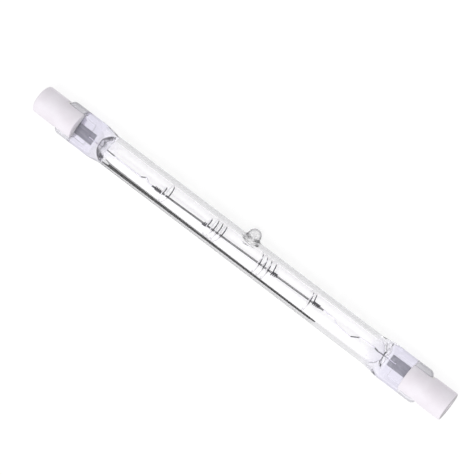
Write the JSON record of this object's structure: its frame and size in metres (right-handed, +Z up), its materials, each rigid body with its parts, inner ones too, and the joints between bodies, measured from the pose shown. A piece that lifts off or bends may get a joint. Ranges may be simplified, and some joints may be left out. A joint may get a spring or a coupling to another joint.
{
  "type": "double-ended quartz infrared heat lamp",
  "caption": "Clear linear quartz heat lamp with a coiled filament on wire supports, flat pinch seals, an exhaust tip and white ceramic end caps with recessed contacts.",
  "frame": {"origin": "on the tube's axis, half way between the two contact faces", "axes": "+X along the tube's axis towards the right-hand cap, +Z up as the lamp lies at rest on its tube and exhaust tip"},
  "size_m": [0.1176, 0.0097, 0.0076],
  "materials": {
    "quartz": "polished",
    "tungsten": "satin",
    "lead_wire": "polished",
    "foil": "satin",
    "cap_ceramic": "satin",
    "contact_metal": "satin",
    "cement": "matte"
  },
  "bodies": {
    "root": {"quartz_envelope": "quartz", "filament": "tungsten", "support_end_left": "tungsten", "support_mid_left": "tungsten", "support_mid_right": "tungsten", "support_end_right": "tungsten", "inner_lead_left": "lead_wire", "inner_lead_right": "lead_wire", "seal_foil_left": "foil", "seal_foil_right": "foil", "outer_lead_left": "lead_wire", "outer_lead_right": "lead_wire", "ceramic_cap_left": "cap_ceramic", "ceramic_cap_right": "cap_ceramic", "contact_left": "contact_metal", "contact_right": "contact_metal", "cap_cement_left": "cement", "cap_cement_right": "cement"}
  },
  "joints": []
}
